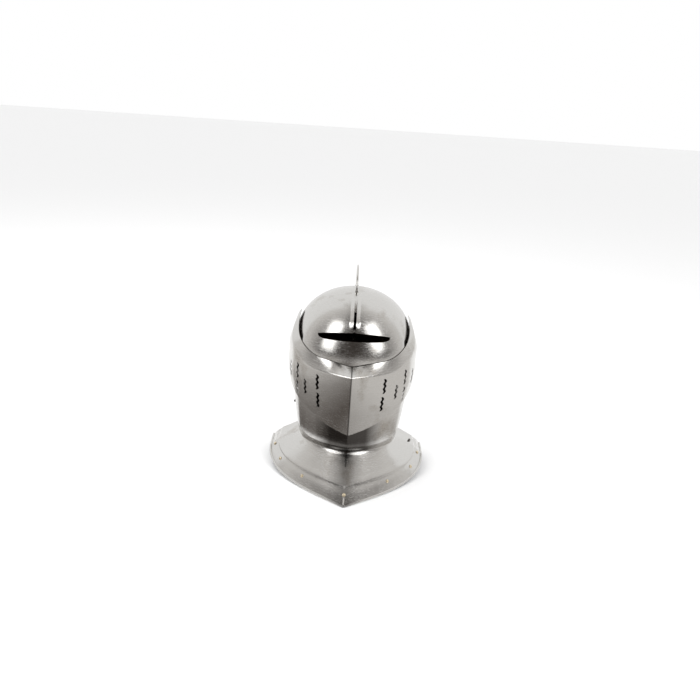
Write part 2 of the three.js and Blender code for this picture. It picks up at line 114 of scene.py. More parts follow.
def cutter(name, outline, origin, across, up, out, near, far):
    """A prism to cut with: outline points (across, up) at the origin, from near to far along out."""
    shape = bmesh.new()
    bmesh.ops.create_circle(shape, cap_ends=True, segments=len(outline), radius=1)
    for vert, (x, y) in zip(shape.verts, outline):
        vert.co = origin + across * x + up * y + out * near
    added = bmesh.ops.extrude_face_region(shape, geom=list(shape.faces))["geom"]
    tops = [part for part in added if isinstance(part, bmesh.types.BMVert)]
    bmesh.ops.translate(shape, verts=tops, vec=out * (far - near))
    bmesh.ops.recalc_face_normals(shape, faces=shape.faces)
    mesh = bpy.data.meshes.new(name)
    shape.to_mesh(mesh)
    shape.free()
    made = bpy.data.objects.new(name, mesh)
    bpy.context.scene.collection.objects.link(made)
    return made


def bolt_hole():
    ring = [(bolt_hole_radius * cos(2 * pi * k / 40), bolt_hole_radius * sin(2 * pi * k / 40))
            for k in range(40)]
    return cutter("bolt_hole", ring, pivot.copy(), Vector((0, 1, 0)), Vector((0, 0, 1)),
                  Vector((1, 0, 0)), -0.2, 0.2)


def make_plate(made, finishes, cutters=(), edge=0.00022):
    """Sheet thickness inwards, softened edges, then the cuts."""
    for finish in finishes:
        made.data.materials.append(finish)
    thick = made.modifiers.new("sheet", "SOLIDIFY")
    thick.thickness = plate_thickness
    thick.offset = -1
    thick.use_even_offset = True
    thick.material_offset = len(finishes) - 1
    thick.material_offset_rim = 0
    soft = made.modifiers.new("edge", "BEVEL")
    soft.width = edge
    soft.segments = 2
    soft.limit_method = "ANGLE"
    soft.angle_limit = radians(55)
    for tool in cutters:
        cut = made.modifiers.new("cut", "BOOLEAN")
        cut.operation = "DIFFERENCE"
        cut.solver = "EXACT"
        cut.object = tool
    settled = bpy.context.evaluated_depsgraph_get()
    mesh = bpy.data.meshes.new_from_object(made.evaluated_get(settled))
    made.modifiers.clear()
    made.data = mesh
    made.data.shade_smooth()
    made.data.set_sharp_from_angle(angle=radians(22))
    for tool in cutters:
        bpy.data.objects.remove(tool)
    return made


def narrowing(z):
    """How far the cheeks and neck draw in, from the height above the pivot."""
    return cheek_narrowing * limit((-0.023 - z) / 0.126) ** 1.4


def node(tree, kind, **values):
    made = tree.nodes.new(kind)
    for name, value in values.items():
        if name in ("operation", "blend_type", "data_type", "feature", "noise_dimensions"):
            setattr(made, name, value)
        else:
            made.inputs[name.replace("_", " ")].default_value = value
    return made


def bright_steel(name, seed, grain, painted_shade=0.0, painted_shade_inner=0.0003, painted_shade_outer=0.0016):
    """Polished steel plate: slow hammer waves, fine crossing scratches, dull smears and small stains, and a painted
    dark band of shade and reflection about the middle line when its strength is given.
    """
    finish = bpy.data.materials.new(name)
    finish.use_nodes = True
    tree = finish.node_tree
    link = tree.links.new
    base = tree.nodes["Principled BSDF"]
    base.inputs["Metallic"].default_value = 1.0
    where = tree.nodes.new("ShaderNodeTexCoord")
    shifted = node(tree, "ShaderNodeMapping", Location=(seed * 0.37, seed * 0.61, seed * 0.23))
    link(where.outputs["Object"], shifted.inputs["Vector"])

    smear = node(tree, "ShaderNodeTexNoise", Scale=17.0, Detail=7.0, Roughness=0.62)
    mottle = node(tree, "ShaderNodeTexNoise", Scale=230.0, Detail=5.0, Roughness=0.6)
    hammer = node(tree, "ShaderNodeTexNoise", Scale=34.0, Detail=1.5, Roughness=0.4)
    for texture in (smear, mottle, hammer):
        link(shifted.outputs["Vector"], texture.inputs["Vector"])

    lines = []
    for turn, stretch, scale in ((grain, 26.0, 90.0), (-grain * 0.7, 34.0, 60.0)):
        turned = node(tree, "ShaderNodeMapping", Rotation=(turn, turn * 0.6, turn * 0.3),
                      Scale=(1.0, 0.9, stretch))
        link(shifted.outputs["Vector"], turned.inputs["Vector"])
        line = node(tree, "ShaderNodeTexNoise", Scale=scale, Detail=3.0, Roughness=0.7)
        link(turned.outputs["Vector"], line.inputs["Vector"])
        thin = node(tree, "ShaderNodeMapRange", From_Min=0.60, From_Max=0.74)
        link(line.outputs["Fac"], thin.inputs["Value"])
        lines.append(thin)
    scratches = node(tree, "ShaderNodeMath", operation="MAXIMUM")
    link(lines[0].outputs["Result"], scratches.inputs[0])
    link(lines[1].outputs["Result"], scratches.inputs[1])

    pits = node(tree, "ShaderNodeTexVoronoi", Scale=310.0)
    link(shifted.outputs["Vector"], pits.inputs["Vector"])
    pit = node(tree, "ShaderNodeMapRange", From_Min=0.16, From_Max=0.06)
    link(pits.outputs["Distance"], pit.inputs["Value"])
    worn = node(tree, "ShaderNodeMapRange", From_Min=0.56, From_Max=0.70)
    link(smear.outputs["Fac"], worn.inputs["Value"])
    pitted = node(tree, "ShaderNodeMath", operation="MULTIPLY")
    link(pit.outputs["Result"], pitted.inputs[0])
    link(worn.outputs["Result"], pitted.inputs[1])

    tone = node(tree, "ShaderNodeMix", data_type="RGBA")
    tone.inputs[6].default_value = (0.63, 0.62, 0.60, 1)
    tone.inputs[7].default_value = (0.46, 0.435, 0.40, 1)
    link(worn.outputs["Result"], tone.inputs["Factor"])
    stained = node(tree, "ShaderNodeMix", data_type="RGBA")
    stained.inputs[7].default_value = (0.20, 0.13, 0.08, 1)
    link(pitted.outputs["Value"], stained.inputs["Factor"])
    link(tone.outputs[2], stained.inputs[6])
    # Painted shade and reflection: the colour darkens towards a near-black tone close to the middle line x = 0, by
    # the given strength, fading out between the two given distances.
    split = tree.nodes.new("ShaderNodeSeparateXYZ")
    link(where.outputs["Object"], split.inputs["Vector"])
    aside = node(tree, "ShaderNodeMath", operation="ABSOLUTE")
    link(split.outputs["X"], aside.inputs[0])
    painted_shade_band = node(tree, "ShaderNodeMapRange", From_Min=painted_shade_inner, From_Max=painted_shade_outer, To_Min=painted_shade, To_Max=0.0)
    link(aside.outputs["Value"], painted_shade_band.inputs["Value"])
    painted_shade_mix = node(tree, "ShaderNodeMix", data_type="RGBA")
    painted_shade_mix.inputs[7].default_value = (0.04, 0.034, 0.03, 1)
    link(painted_shade_band.outputs["Result"], painted_shade_mix.inputs["Factor"])
    link(stained.outputs[2], painted_shade_mix.inputs[6])
    link(painted_shade_mix.outputs[2], base.inputs["Base Color"])

    dull = node(tree, "ShaderNodeMapRange", From_Min=0.3, From_Max=0.75, To_Min=0.10, To_Max=0.24)
    link(smear.outputs["Fac"], dull.inputs["Value"])
    marked = node(tree, "ShaderNodeMath", operation="MULTIPLY_ADD")
    marked.inputs[1].default_value = 0.22
    link(scratches.outputs["Value"], marked.inputs[0])
    link(dull.outputs["Result"], marked.inputs[2])
    speckled = node(tree, "ShaderNodeMath", operation="MULTIPLY_ADD")
    speckled.inputs[1].default_value = 0.10
    link(mottle.outputs["Fac"], speckled.inputs[0])
    link(marked.outputs["Value"], speckled.inputs[2])
    link(speckled.outputs["Value"], base.inputs["Roughness"])

    waves = node(tree, "ShaderNodeBump", Strength=0.30, Distance=0.0016)
    link(hammer.outputs["Fac"], waves.inputs["Height"])
    marks = node(tree, "ShaderNodeBump", Strength=0.12, Distance=0.0003)
    marks.invert = True
    link(scratches.outputs["Value"], marks.inputs["Height"])
    link(waves.outputs["Normal"], marks.inputs["Normal"])
    holes = node(tree, "ShaderNodeBump", Strength=0.35, Distance=0.0004)
    holes.invert = True
    link(pitted.outputs["Value"], holes.inputs["Height"])
    link(marks.outputs["Normal"], holes.inputs["Normal"])
    link(holes.outputs["Normal"], base.inputs["Normal"])
    return finish


def forge_steel():
    """Inside of the plates: black scale with brown patches, never polished."""
    finish = bpy.data.materials.new("forge_steel")
    finish.use_nodes = True
    tree = finish.node_tree
    link = tree.links.new
    base = tree.nodes["Principled BSDF"]
    base.inputs["Metallic"].default_value = 0.75
    where = tree.nodes.new("ShaderNodeTexCoord")
    patches = node(tree, "ShaderNodeTexNoise", Scale=55.0, Detail=8.0, Roughness=0.65)
    link(where.outputs["Object"], patches.inputs["Vector"])
    tone = node(tree, "ShaderNodeMix", data_type="RGBA")
    tone.inputs[6].default_value = (0.035, 0.031, 0.028, 1)
    tone.inputs[7].default_value = (0.11, 0.075, 0.05, 1)
    link(patches.outputs["Fac"], tone.inputs["Factor"])
    link(tone.outputs[2], base.inputs["Base Color"])
    dull = node(tree, "ShaderNodeMapRange", To_Min=0.45, To_Max=0.8)
    link(patches.outputs["Fac"], dull.inputs["Value"])
    link(dull.outputs["Result"], base.inputs["Roughness"])
    scale = node(tree, "ShaderNodeBump", Strength=0.5, Distance=0.0006)
    link(patches.outputs["Fac"], scale.inputs["Height"])
    link(scale.outputs["Normal"], base.inputs["Normal"])
    return finish


inside = forge_steel()


def lune(column, angle, radius, half_width):
    """Point of a bowl turned about the pivot line: column and angle in degrees."""
    turned = flat_radius + (radius - flat_radius) * cos(radians(column))
    return pivot + Vector((half_width * sin(radians(column)), -turned * cos(radians(angle)),
                           turned * sin(radians(angle))))


def skull_place(u, v):
    side = 2 * u - 1
    column = 90 * limit(abs(side) / flat_start) * (1 if side > 0 else -1)
    flat = limit((abs(side) - flat_start) / (1 - flat_start))
    if v <= dome_share:
        brow = mix(brow_angle, temple_angle, ease((abs(column) - brow_edge_column) / brow_edge_span))
        angle = mix(brow, 180, v / dome_share)
        point = lune(column, angle, skull_radius, skull_half_width)
        if flat:
            turned = mix(flat_radius, 0.001, flat)
            point.y = pivot.y - turned * cos(radians(angle))
            point.z = pivot.z + turned * sin(radians(angle))
        return point
    down = (v - dome_share) / (1 - dome_share)
    hem = -collar_drop + hem_lift - nape_drop * cos(radians(column))
    z = hem * down
    depth = along(nape_shape, 1 + z / profile_height)[0] * skull_radius
    back = flat_radius + (depth - flat_radius) * cos(radians(column))
    if flat:
        back = mix(back, mix(0.001, -0.006, limit(down * 5)), flat)
    half = skull_half_width - narrowing(z)
    return pivot + Vector((half * sin(radians(column)), back, z))


skull_steel = bright_steel("skull_steel", 1, 0.9)
skull = make_plate(grid_object("skull_shell", 200, 190, skull_place), (skull_steel, inside), (bolt_hole(),))
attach(skull, "skull")
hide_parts("skull")


# Comb, the tall thin crest along the middle of the skull. It is raised from the same sheet as the skull
# and folded to a thin blade, with a bead along its edge and a flare where it runs out into the bowl.
comb_height = 0.0378
comb_web = 0.0012
comb_edge = 0.0019
comb_flare = 0.0034
comb_front_angle = 76
comb_peak_angle = 109
comb_rear_angle = 190
comb_power = log(0.5) / log((comb_peak_angle - comb_front_angle) / (comb_rear_angle - comb_front_angle))


def comb_place(u, v):
    angle = mix(comb_front_angle, comb_rear_angle, u)
    height = comb_height * sin(pi * limit(u) ** comb_power)
    around = 2 * v - 1
    share = 1 - abs(around)
    rise = height * (1 - (1 - share) ** 2) if height > 0.004 else height * share
    below = height - rise
    half = comb_web + (comb_edge - comb_web) * (1 - ease((below - comb_edge) / 0.003))
    half *= sqrt(limit(1 - max(1 - below / comb_edge, 0) ** 2))
    half += comb_flare * (1 - limit(rise / 0.007)) ** 2 * limit(height / 0.012)
    radius = skull_radius - 0.0006 + rise
    return pivot + Vector((half * (1 if around > 0 else -1), -radius * cos(radians(angle)),
                           radius * sin(radians(angle))))


comb = grid_object("comb", 180, 56, comb_place)
closing = bmesh.new()
closing.from_mesh(comb.data)
bmesh.ops.remove_doubles(closing, verts=closing.verts, dist=0.00001)
bmesh.ops.holes_fill(closing, edges=closing.edges)
bmesh.ops.recalc_face_normals(closing, faces=closing.faces)
closing.to_mesh(comb.data)
closing.free()
comb.data.materials.append(skull_steel)
comb.data.shade_smooth()
comb.data.set_sharp_from_angle(angle=radians(50))
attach(comb, "skull")


# Visor, one plate over the brow with a single long sight. It is hammered to the skull's curve, turns on
# the temple bolts, and is notched and slotted in the middle so that the comb passes through it.
visor_radius = 0.1109
visor_half_width = 0.1038
visor_hem_angle = -6
visor_top_angle = 75
visor_arm_angle = 19
visor_arch_span = 54.5
visor_arch_share = 0.64
visor_ridge_height = 0.0045
sight_angle = 27
sight_half_length = 0.059
sight_rise = 0.006
sight_drop = 0.008
comb_slot_width = 0.0044
comb_slot_start = 33
comb_slot_end = 87
cut_near = 0.094
cut_far = 0.136
comb_notch_half_width = 0.0075
comb_notch_angle = 57
notch_near = 0.089
ear_radius = 0.018


def visor_place(u, v):
    side = 2 * u - 1
    share = abs(side)
    if share <= visor_arch_share:
        column = visor_arch_span * sin(pi / 2 * share / visor_arch_share)
        top = mix(visor_arm_angle, visor_top_angle, cos(pi / 2 * share / visor_arch_share))
    else:
        column = mix(visor_arch_span, 90, limit((share - visor_arch_share) / (flat_start - visor_arch_share)))
        top = visor_arm_angle
    angle = mix(visor_hem_angle, top, v)
    rise = ease((angle - sight_angle - 4) / 12) * max(1 - column / 4.5, 0)
    point = lune(column, angle, visor_radius + visor_ridge_height * rise, visor_half_width)
    if share > flat_start:
        turned = mix(flat_radius, 0.008, (share - flat_start) / (1 - flat_start))
        point.y = pivot.y - turned * cos(radians(angle))
        point.z = pivot.z + turned * sin(radians(angle))
    if side < 0:
        point.x = -point.x
    return point


def radial_axes(angle):
    return (Vector((1, 0, 0)), Vector((0, sin(radians(angle)), cos(radians(angle)))),
            Vector((0, -cos(radians(angle)), sin(radians(angle)))))


sight_outline = []
for k in range(41):
    turn = pi * k / 40
    sight_outline.append((-sight_half_length * cos(turn),
                          sight_rise - (sight_rise + sight_drop) * sin(turn) ** 0.7))
sight_outline += [(0.004, sight_rise), (0, sight_rise + 0.0016), (-0.004, sight_rise)]
sight_cut = cutter("sight_cut", sight_outline, pivot.copy(), *radial_axes(sight_angle), flat_radius, cut_far)

slot_outline = []
for angle, radius in ((comb_slot_start, cut_near), (comb_slot_start, cut_far),
                      (comb_slot_end, cut_far), (comb_slot_end, cut_near)):
    slot_outline.append((-radius * cos(radians(angle)), radius * sin(radians(angle))))
slot_cut = cutter("slot_cut", slot_outline, pivot.copy(), Vector((0, 1, 0)), Vector((0, 0, 1)),
                  Vector((1, 0, 0)), -comb_slot_width / 2, comb_slot_width / 2)

notch_middle = (comb_notch_angle + visor_top_angle) / 2
notch_reach = visor_radius * 0.1584
notch_outline = [(0, -notch_reach), (comb_notch_half_width, notch_reach),
                 (comb_notch_half_width, 2 * notch_reach), (-comb_notch_half_width, 2 * notch_reach),
                 (-comb_notch_half_width, notch_reach)]
notch_cut = cutter("notch_cut", notch_outline, pivot.copy(), *radial_axes(notch_middle), notch_near, cut_far)

visor_steel = bright_steel("visor_steel", 2, 0.5)
visor = make_plate(grid_object("visor_plate", 240, 120, visor_place), (visor_steel, inside),
                   (sight_cut, slot_cut, notch_cut))


def ear_place(u, v):
    turned = mix(bolt_hole_radius, ear_radius, u)
    return pivot + Vector((visor_half_width - 0.00004, turned * cos(2 * pi * v), turned * sin(2 * pi * v)))


def ear(name, side):
    made = grid_object(name, 6, 64, ear_place)
    shape = bmesh.new()
    shape.from_mesh(made.data)
    bmesh.ops.remove_doubles(shape, verts=shape.verts, dist=0.00001)
    if side < 0:
        for vert in shape.verts:
            vert.co.x = -vert.co.x
        bmesh.ops.reverse_faces(shape, faces=shape.faces)
    shape.to_mesh(made.data)
    shape.free()
    return make_plate(made, (visor_steel, inside))


for name, side in (("visor_ear_left", 1), ("visor_ear_right", -1)):
    disc = ear(name, side)
    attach(disc, "visor")
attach(visor, "visor")
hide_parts("visor")


# Ventail, the breath guard in front of the face. One plate is creased to a ship's prow, turned in at its
# top to a shelf that meets the visor, and drawn up to a horn at each temple. Six scalloped breaths are
# chiselled through each side.
ventail_half_width = 0.1095
ventail_round = 0.113
prow_depth = 0.026
prow_top = -0.005
prow_bottom = -0.109
horn_rise = 0.064
horn_start = 0.107
rear_edge = 0.008
hem_slope = 0.58
shelf_inset = 0.13
shelf_gap = 0.0015
shelf_lift = 4
shelf_side_lift = 10
ridge_roll = 0.0022
wall_share = 0.78
roll_share = 0.88
column_length = 0.1
ventail_shape = [
    (0.46, 0.875, 0.985, 0.70), (0.59, 0.905, 0.99, 0.78), (0.70, 0.948, 0.995, 0.87),
    (0.87, 1.00, 1.00, 0.96), (1.00, 1.00, 1.00, 1.00), (1.09, 1.00, 1.00, 1.00),
    (1.20, 0.94, 1.00, 1.00), (1.285, 0.88, 1.00, 1.00)]


def front_point(column, half_width, round_radius, point, z):
    """A level section with round front, pointed prow and straight cheeks; column 1 is the cheek's start."""
    share, side = abs(column), (1 if column > 0 else -1)
    if share > 1:
        return pivot + Vector((side * half_width, (share - 1) * column_length - flat_radius, z))
    turn = pi / 2 * share
    forward = flat_radius + (round_radius - flat_radius) * cos(turn) + point * (1 - share) ** 2.5
    return pivot + Vector((side * half_width * sin(turn), -forward, z))


def ventail_point(column, z):
    width, round_share, point = along(ventail_shape, 1 + z / profile_height)
    return front_point(column, width * ventail_half_width, round_share * ventail_round, point * prow_depth, z)


def ventail_edges(column):
    nominal = ventail_point(column, prow_top).y - pivot.y
    front = ventail_point(0, prow_top).y - pivot.y
    top = prow_top + horn_rise * ease((nominal + horn_start) / (horn_start + rear_edge))
    bottom = prow_bottom + hem_slope * (nominal - front)
    return top, bottom, limit((nominal - front) / (rear_edge - front))


def shelf_point(column):
    top, bottom, back = ventail_edges(column)
    ridge = ventail_point(column, top) - pivot
    x = ridge.x * (1 - shelf_inset + 0.7 * shelf_inset * back * back)
    radius = (flat_radius + (visor_radius - flat_radius) * sqrt(1 - (x / visor_half_width) ** 2)
              + shelf_gap + plate_thickness)
    lift = shelf_lift * (1 - back) + 4 * shelf_side_lift * back * (1 - back)
    angle = atan2(ridge.z, -ridge.y) + radians(lift)
    return pivot + Vector((x, -radius * cos(angle), radius * sin(angle)))


def ventail_place(u, v):
    side = 2 * u - 1
    column = 1.30 * side
    top, bottom, back = ventail_edges(column)
    ridge = ventail_point(column, top)
    if v <= wall_share:
        return ventail_point(column, mix(bottom, top - ridge_roll, v / wall_share))
    inner = shelf_point(column)
    start = ventail_point(column, top - ridge_roll)
    roll = min(0.5, ridge_roll / max((inner - ridge).length, 0.001))
    end = ridge.lerp(inner, roll)
    if v <= roll_share:
        t = (v - wall_share) / (roll_share - wall_share)
        return start * (1 - t) ** 2 + ridge * 2 * t * (1 - t) + end * t * t
    return end.lerp(inner, (v - roll_share) / (1 - roll_share))


breath_length = 0.027
breath_half_width = 0.0025
breath_wave = 0.0012
breath_places = [(0.335, 0.875), (0.335, 0.725), (0.495, 0.80), (0.61, 0.905), (0.635, 0.758), (0.775, 0.885)]


def breath_cut(column, share):
    z = (share - 1) * profile_height
    point = ventail_point(column, z)
    side = 1 if column > 0 else -1
    step = (ventail_point(column + 0.02, z) - ventail_point(column - 0.02, z)).normalized()
    out = step.cross(Vector((0, 0, 1)))
    if out.dot(Vector((point.x, point.y - pivot.y, 0))) < 0:
        out = -out
    outline = []
    for k in range(37):
        t = k / 36
        end = sqrt(limit(1 - (2 * abs(t - 0.5)) ** 10))
        outline.append((breath_half_width * end - breath_wave * cos(6 * pi * t), breath_length * (t - 0.5)))
    for k in range(36, -1, -1):
        t = k / 36
        end = sqrt(limit(1 - (2 * abs(t - 0.5)) ** 10))
        outline.append((-breath_half_width * end - breath_wave * cos(6 * pi * t), breath_length * (t - 0.5)))
    outline = (outline[1:36] + [(-breath_wave, breath_length / 2)] + outline[38:73]
               + [(-breath_wave, -breath_length / 2)])
    return cutter("breath_cut", outline, point, Vector((0, 0, 1)).cross(out), Vector((0, 0, 1)), out,
                  -0.0048, 0.0048)


breath_cuts = [breath_cut(side * column, share) for side in (-1, 1) for column, share in breath_places]
# The ventail gets a thin painted dark line along the prow crease, painted shade in the fold.
ventail_steel = bright_steel("ventail_steel", 3, 1.3, painted_shade=0.8)
ventail = make_plate(grid_object("ventail_plate", 260, 120, ventail_place), (ventail_steel, inside),
                     (*breath_cuts, bolt_hole()))
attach(ventail, "ventail")
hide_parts("ventail")


# Bevor, the chin piece under the ventail. It is one plate with a soft crease in front, drawn in at the
# throat, with arms behind the cheeks that hang on the temple bolts.
bevor_half_width = 0.1019
bevor_shape = [(0.30, 0.91, 0.34), (0.36, 0.955, 0.60), (0.48, 0.965, 0.64), (0.70, 0.965, 0.52),
               (0.88, 0.95, 0.28), (1.12, 0.90, 0.0)]
bevor_top = -0.025
bevor_arm_top = 0.023


def bevor_point(column, z):
    round_share, point = along(bevor_shape, 1 + z / profile_height)
    return front_point(column, bevor_half_width - narrowing(z), round_share * skull_radius,
                       point * prow_depth, z)


def bevor_place(u, v):
    column = 1.36 * (2 * u - 1)
    low_edge = -collar_drop + 0.008 * limit((abs(column) - 0.8) / 0.2)
    high_edge = mix(bevor_top, bevor_arm_top, ease((abs(column) - 1) / 0.1))
    return bevor_point(column, mix(low_edge, high_edge, v))


# The bevor's middle gets a wide painted dark band, painted shade and reflection under the ventail; its sides stay
# light.
bevor_steel = bright_steel("bevor_steel", 4, 0.3, painted_shade=0.9, painted_shade_inner=0.030, painted_shade_outer=0.058)
bevor = make_plate(grid_object("bevor_plate", 220, 120, bevor_place), (bevor_steel, inside), (bolt_hole(),))
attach(bevor, "bevor")
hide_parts("bevor")


# Gorget, the neck guard that the helmet stands on. A front and a rear plate flare from the collar over a
# raised step to a rim that is rolled outwards over a wire. The front one is drawn to a point.
neck_half_width = 0.085
gorget_half_width = 0.136
gorget_round = 0.120
gorget_point_depth = 0.060
gorget_back = 0.146
gorget_side_rise = 0.024
rim_radius = 0.00214
rim_drop = -0.2105
gorget_shape = [(0, 1.0, 1.0), (1, 0.87, 0.79), (2, 0.745, 0.665), (3, 0.70, 0.595), (4, 0.54, 0.475),
                (5, 0.38, 0.355), (6, 0.24, 0.25), (7, 0.12, 0.155), (8, 0.03, 0.07), (9, 0.0, -0.02),
                (10, 0.0, -0.13)]


def gorget_front_point(column, out, down):
    rim = rim_drop + gorget_side_rise * limit(abs(column)) ** 3
    z = mix(-collar_drop, rim, down)
    return front_point(column, mix(neck_half_width, gorget_half_width, out),
                       mix(0.885 * skull_radius, gorget_round, out),
                       mix(0.30 * prow_depth, gorget_point_depth, out), z)


def gorget_rear_point(column, out, down):
    share, side = abs(column), (1 if column > 0 else -1)
    rim = rim_drop + gorget_side_rise * limit(share) ** 8
    half = mix(neck_half_width - 0.0019, gorget_half_width, out)
    depth = mix(0.82 * skull_radius - 0.0019, gorget_back, out)
    turn = pi / 2 * limit(share)
    z = mix(-collar_drop - nape_drop * cos(turn), rim, down)
    if share > 1:
        return pivot + Vector((side * half, flat_radius - (share - 1) * column_length, z))
    return pivot + Vector((side * half * sin(turn), flat_radius + (depth - flat_radius) * cos(turn), z))


def gorget_front_place(u, v):
    out, down = along(gorget_shape, 10 * v)
    return gorget_front_point(1.22 * (2 * u - 1), out, down)


def gorget_rear_place(u, v):
    out, down = along(gorget_shape, 10 * (1 - v))
    return gorget_rear_point(1.212 * (2 * u - 1), out, down)


def rim_roll(name, point_at, reach):
    """Round roll along the rim, closed at both ends."""
    def place(u, v):
        column = reach * (2 * u - 1)
        centre = point_at(column, 1, 1)
        step = (point_at(column + 0.002, 1, 1) - point_at(column - 0.002, 1, 1)).normalized()
        if abs(column) < 0.002:
            step = Vector((1, 0, 0))
        sideways = step.cross(Vector((0, 0, 1))).normalized()
        upwards = sideways.cross(step).normalized()
        turn = 2 * pi * v
        return centre + sideways * rim_radius * cos(turn) + upwards * rim_radius * sin(turn)
    made = grid_object(name, 320, 20, place)
    shape = bmesh.new()
    shape.from_mesh(made.data)
    bmesh.ops.remove_doubles(shape, verts=shape.verts, dist=0.000002)
    bmesh.ops.holes_fill(shape, edges=shape.edges)
    bmesh.ops.recalc_face_normals(shape, faces=shape.faces)
    shape.to_mesh(made.data)
    shape.free()
    made.data.shade_smooth()
    made.data.set_sharp_from_angle(angle=radians(50))
    return made


# The front gorget plate gets a painted dark band down its middle, a painted reflection.
front_steel = bright_steel("gorget_front_steel", 5, 0.7, painted_shade=0.62, painted_shade_inner=0.004, painted_shade_outer=0.030)
rear_steel = bright_steel("gorget_rear_steel", 6, 0.8)
gorget_parts = (
    ("gorget_front_plate", "gorget_front", "bevor", front_steel, gorget_front_place, gorget_front_point, 1.22),
    ("gorget_rear_plate", "gorget_rear", "skull", rear_steel, gorget_rear_place, gorget_rear_point, 1.212))
for name, cad_node, body, steel, place, point_at, reach in gorget_parts:
    plate = make_plate(grid_object(name, 240, 110, place), (steel, inside))
    roll = rim_roll(name.replace("plate", "rim"), point_at, reach)
    roll.data.materials.append(steel)
    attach(plate, body)
    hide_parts(cad_node)
    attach(roll, body)


# Rivets, small brass heads in a row above the rolled rim. They once held the leather strap of a lining,
# and their domes are rubbed flat and dulled.
rivet_radius = 0.003
rivet_height = 0.0018
rim_band = (0.85, 0.77)


def turned_object(name, profile, base, out, segments=32):
    """A turned piece: profile (radius, height) from the middle below to the middle on top."""
    around = out.to_track_quat("Z", "Y").to_matrix()

    def place(u, v):
        radius, height = profile[round(v * (len(profile) - 1))]
        turn = 2 * pi * u
        return base + around @ Vector((radius * cos(turn), radius * sin(turn), height))
    made = grid_object(name, segments, len(profile) - 1, place)
    shape = bmesh.new()
    shape.from_mesh(made.data)
    bmesh.ops.remove_doubles(shape, verts=shape.verts, dist=0.000001)
    bmesh.ops.recalc_face_normals(shape, faces=shape.faces)
    shape.to_mesh(made.data)
    shape.free()
    made.data.shade_smooth()
    made.data.set_sharp_from_angle(angle=radians(40))
    return made


def dome(radius, height, steps=10):
    return [(0, 0), (radius, 0)] + [
        (radius * cos(pi / 2 * k / steps), height * sin(pi / 2 * k / steps)) for k in range(1, steps)] + [(0, height)]


def outward(point_at, column, out, down):
    across = point_at(column + 0.01, out, down) - point_at(column - 0.01, out, down)
    inwards = point_at(column, out - 0.02, down - 0.03) - point_at(column, out, down)
    normal = across.cross(inwards).normalized()
    return normal if normal.z > 0 else -normal


def worn_brass():
    finish = bpy.data.materials.new("worn_brass")
    finish.use_nodes = True
    tree = finish.node_tree
    link = tree.links.new
    base = tree.nodes["Principled BSDF"]
    base.inputs["Metallic"].default_value = 1.0
    where = tree.nodes.new("ShaderNodeTexCoord")
    cloud = node(tree, "ShaderNodeTexNoise", Scale=420.0, Detail=6.0, Roughness=0.65)
    link(where.outputs["Object"], cloud.inputs["Vector"])
    tone = node(tree, "ShaderNodeMix", data_type="RGBA")
    tone.inputs[6].default_value = (0.88, 0.80, 0.62, 1)
    tone.inputs[7].default_value = (0.58, 0.46, 0.30, 1)
    link(cloud.outputs["Fac"], tone.inputs["Factor"])
    link(tone.outputs[2], base.inputs["Base Color"])
    dull = node(tree, "ShaderNodeMapRange", To_Min=0.2, To_Max=0.55)
    link(cloud.outputs["Fac"], dull.inputs["Value"])
    link(dull.outputs["Result"], base.inputs["Roughness"])
    dents = node(tree, "ShaderNodeBump", Strength=0.3, Distance=0.0003)
    link(cloud.outputs["Fac"], dents.inputs["Height"])
    link(dents.outputs["Normal"], base.inputs["Normal"])
    return finish


brass = worn_brass()
front_rivets = [-0.95, -0.70, -0.38, 0, 0.38, 0.70, 0.95]
rear_rivets = [-0.8, -0.4, 0, 0.4, 0.8]
for point_at, columns, stem, body in ((gorget_front_point, front_rivets, "gorget_rivet_", "bevor"),
                                      (gorget_rear_point, rear_rivets, "rear_rivet_", "skull")):
    for index, column in enumerate(columns):
        middle = point_at(column, *rim_band)
        out = outward(point_at, column if column else 0.0001, *rim_band)
        if column == 0:
            out = Vector((0, out.y, out.z)).normalized()
        rivet = turned_object(f"{stem}head_{index + 1}", dome(rivet_radius, rivet_height),
                              middle + out * 0.0002, out)
        rivet.data.materials.append(brass)
        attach(rivet, body)
        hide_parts(f"{stem}{index + 1}")


# Pivot bolts at the temples. Each steel bolt passes through all four plates, with a low domed head
# outside, a spacer between visor and ventail and a washer inside.
bolt_profile = [(0, -0.0125), (0.007, -0.0125), (0.007, -0.0105), (0.0034, -0.0105), (0.0034, -0.0056),
                (0.007, -0.0056), (0.007, -0.0018), (0.0034, -0.0018), (0.0034, 0.0003), (0.007, 0.0003)]
bolt_profile += [(0.007 * cos(pi / 2 * k / 8), 0.0003 + 0.0020 * sin(pi / 2 * k / 8)) for k in range(1, 8)]
bolt_profile += [(0, 0.0023)]
for cad_node, side in (("pivot_left", 1), ("pivot_right", -1)):
    bolt = turned_object(cad_node + "_bolt", bolt_profile,
                         pivot + Vector((side * (ventail_half_width + 0.00004), 0, 0)), Vector((side, 0, 0)), 48)
    bolt.data.materials.append(skull_steel)
    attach(bolt, "skull")
    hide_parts(cad_node)


